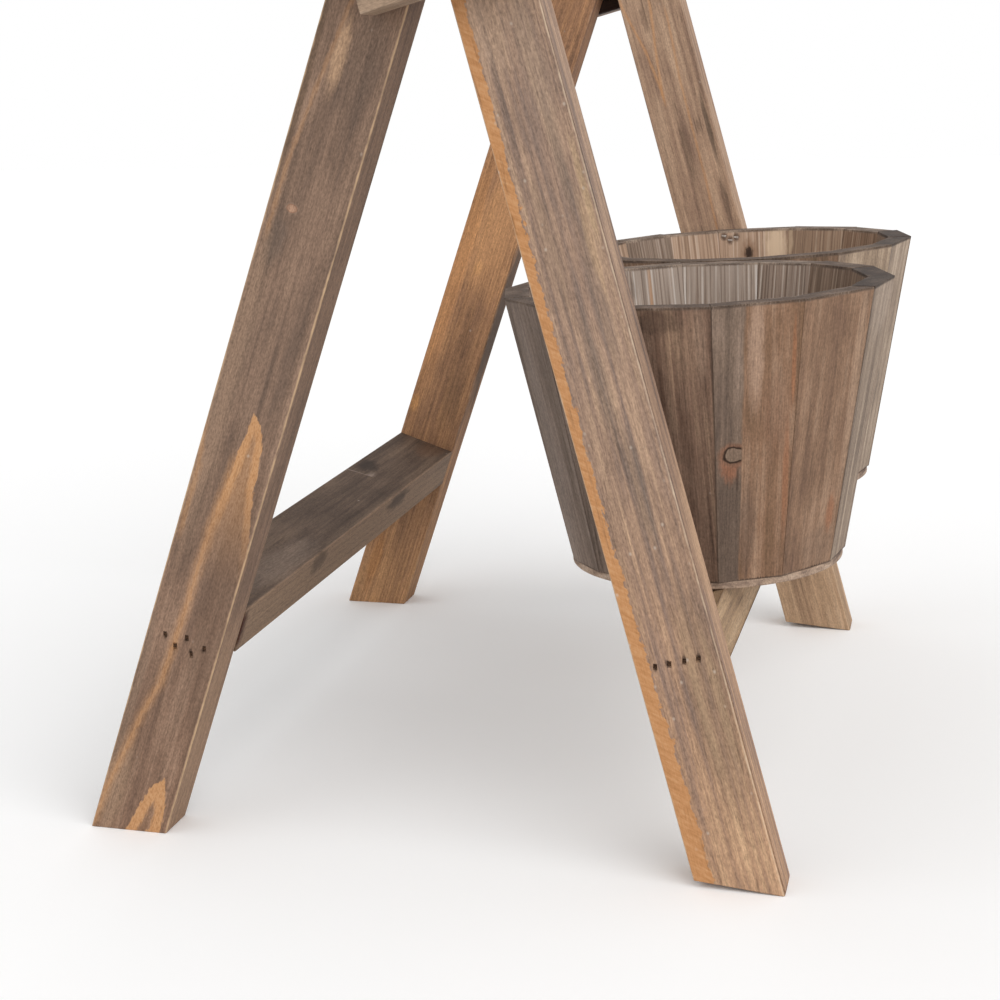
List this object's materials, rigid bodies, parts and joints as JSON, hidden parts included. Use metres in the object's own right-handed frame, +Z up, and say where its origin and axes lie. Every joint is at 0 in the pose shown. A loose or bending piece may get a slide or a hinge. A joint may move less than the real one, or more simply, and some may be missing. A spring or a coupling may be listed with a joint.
{
  "type": "plant shelf",
  "caption": "Free-standing A-frame plant stand of nailed, stained boards whose front ladder carries round staved wooden tubs side by side on a low rung.",
  "frame": {"origin": "on the floor, in the middle of the box around the stand", "axes": "+X from the rear feet towards the tubs, +Y from the near ladder side to the far one, +Z up"},
  "size_m": [0.4472, 0.5508, 0.6369],
  "materials": {
    "stained_fir_boards": "matt grey-brown stain, rubbed through to orange wood in places",
    "stained_fir_staves": "matt grey-brown stain, scorched at the rims and joints",
    "base_board": "pale raw board, matt",
    "steel_nails": "dull steel"
  },
  "bodies": {
    "root": {"base_brads_far": "steel_nails", "base_brads_near": "steel_nails", "cleat_far": "stained_fir_boards", "cleat_nails_far": "steel_nails", "cleat_nails_near": "steel_nails", "cleat_near": "stained_fir_boards", "front_leg_far": "stained_fir_boards", "front_leg_near": "stained_fir_boards", "front_rung": "stained_fir_boards", "front_rung_nails": "steel_nails", "rear_leg_far": "stained_fir_boards", "rear_leg_near": "stained_fir_boards", "rear_rung": "stained_fir_boards", "rear_rung_nails": "steel_nails", "top_rung": "stained_fir_boards", "top_rung_nails": "steel_nails", "tub_base_far": "base_board", "tub_base_near": "base_board", "tub_nails_far": "steel_nails", "tub_nails_near": "steel_nails", "tub_stave_far_01": "stained_fir_staves", "tub_stave_far_02": "stained_fir_staves", "tub_stave_far_03": "stained_fir_staves", "tub_stave_far_04": "stained_fir_staves", "tub_stave_far_05": "stained_fir_staves", "tub_stave_far_06": "stained_fir_staves", "tub_stave_far_07": "stained_fir_staves", "tub_stave_far_08": "stained_fir_staves", "tub_stave_far_09": "stained_fir_staves", "tub_stave_far_10": "stained_fir_staves", "tub_stave_far_11": "stained_fir_staves", "tub_stave_far_12": "stained_fir_staves", "tub_stave_far_13": "stained_fir_staves", "tub_stave_far_14": "stained_fir_staves", "tub_stave_near_01": "stained_fir_staves", "tub_stave_near_02": "stained_fir_staves", "tub_stave_near_03": "stained_fir_staves", "tub_stave_near_04": "stained_fir_staves", "tub_stave_near_05": "stained_fir_staves", "tub_stave_near_06": "stained_fir_staves", "tub_stave_near_07": "stained_fir_staves", "tub_stave_near_08": "stained_fir_staves", "tub_stave_near_09": "stained_fir_staves", "tub_stave_near_10": "stained_fir_staves", "tub_stave_near_11": "stained_fir_staves", "tub_stave_near_12": "stained_fir_staves", "tub_stave_near_13": "stained_fir_staves", "tub_stave_near_14": "stained_fir_staves"}
  },
  "joints": []
}
